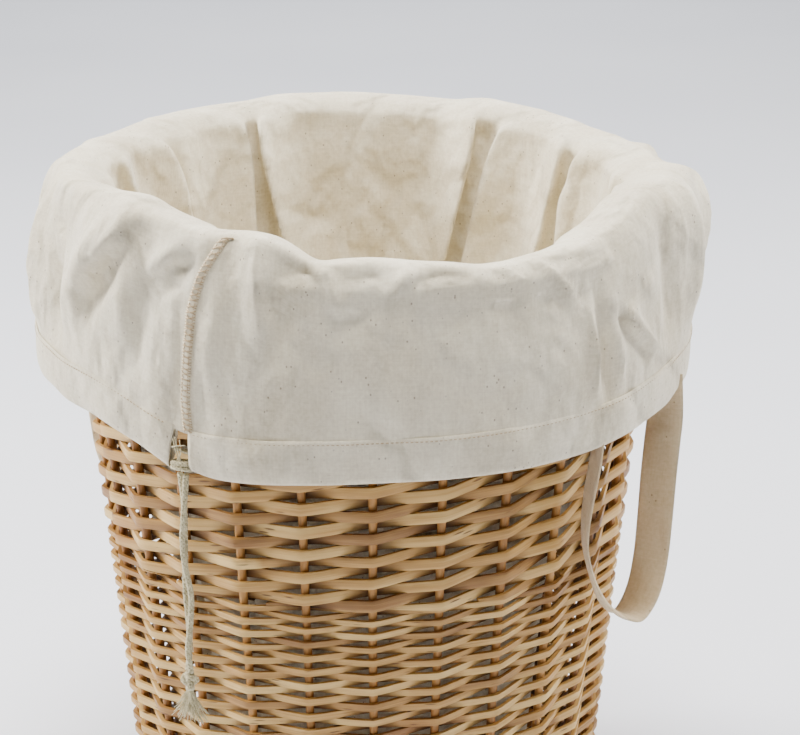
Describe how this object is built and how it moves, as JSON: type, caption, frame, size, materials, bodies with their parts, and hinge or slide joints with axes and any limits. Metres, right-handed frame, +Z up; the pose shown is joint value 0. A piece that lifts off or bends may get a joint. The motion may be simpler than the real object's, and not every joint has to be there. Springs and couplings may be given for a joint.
{
  "type": "lined willow laundry basket",
  "caption": "Round tapered woven willow laundry basket with a lift-out cotton liner bag turned over the rim, a hem drawstring and tape loops.",
  "frame": {"origin": "middle of the underside, where the basket stands on the floor", "axes": "+Z up out of the mouth; -Y is the front, with the drawstring 32 degrees to its left and a tape loop 54 degrees to its right"},
  "size_m": [0.4644, 0.4644, 0.525],
  "materials": {
    "willow_rod": "peeled willow, satin",
    "willow_stake": "peeled willow, satin",
    "liner_cotton": "unbleached calico, matt",
    "cotton_cord": "braided cotton, matt",
    "cotton_tape": "woven cotton tape, matt"
  },
  "bodies": {
    "basket": {"base_weave": "willow_rod", "foot_border": "willow_rod", "lower_wale": "willow_rod", "fine_siding": "willow_rod", "coarse_siding": "willow_rod", "upper_wale": "willow_rod", "rolled_border": "willow_rod", "pierced_base_stick_1": "willow_stake", "pierced_base_stick_2": "willow_stake", "pierced_base_stick_3": "willow_stake", "pierced_base_stick_4": "willow_stake", "threaded_base_stick_1": "willow_stake", "threaded_base_stick_2": "willow_stake", "threaded_base_stick_3": "willow_stake", "threaded_base_stick_4": "willow_stake", "stake_01": "willow_stake", "stake_02": "willow_stake", "stake_03": "willow_stake", "stake_04": "willow_stake", "stake_05": "willow_stake", "stake_06": "willow_stake", "stake_07": "willow_stake", "stake_08": "willow_stake", "stake_09": "willow_stake", "stake_10": "willow_stake", "stake_11": "willow_stake", "stake_12": "willow_stake", "stake_13": "willow_stake", "stake_14": "willow_stake", "stake_15": "willow_stake", "stake_16": "willow_stake", "stake_17": "willow_stake", "stake_18": "willow_stake", "stake_19": "willow_stake", "stake_20": "willow_stake", "stake_21": "willow_stake", "stake_22": "willow_stake", "stake_23": "willow_stake", "stake_24": "willow_stake", "stake_25": "willow_stake", "stake_26": "willow_stake"},
    "liner": {"liner_wall": "liner_cotton", "liner_bottom": "liner_cotton", "liner_cuff": "liner_cotton", "hem_channel": "liner_cotton", "seam_strip": "liner_cotton", "drawstring_in_hem": "cotton_cord", "drawstring_hitch": "cotton_cord"},
    "tape_right": {"tape_loop_right": "cotton_tape"},
    "tape_left": {"tape_loop_left": "cotton_tape"},
    "drawstring": {"drawstring_tail_left": "cotton_cord", "drawstring_tail_right": "cotton_cord", "drawstring_knot": "cotton_cord", "drawstring_tassel": "cotton_cord"}
  },
  "joints": [
    {"name": "liner_lift", "type": "slide", "parent": "basket", "child": "liner", "axis": [0, 0, 1], "range_m": [0, 0.52]},
    {"name": "tape_right_swing", "type": "hinge", "parent": "liner", "child": "tape_right", "pos_m": [0.18028, -0.13098, 0.373], "axis": [-0.5878, -0.809, 0], "range_deg": [0, 90]},
    {"name": "tape_left_swing", "type": "hinge", "parent": "liner", "child": "tape_left", "pos_m": [-0.18028, 0.13098, 0.373], "axis": [0.5878, 0.809, 0], "range_deg": [0, 90]},
    {"name": "drawstring_swing", "type": "hinge", "parent": "liner", "child": "drawstring", "pos_m": [-0.12132, -0.19415, 0.371], "axis": [-0.848, 0.5299, 0], "range_deg": [0, 90]}
  ]
}
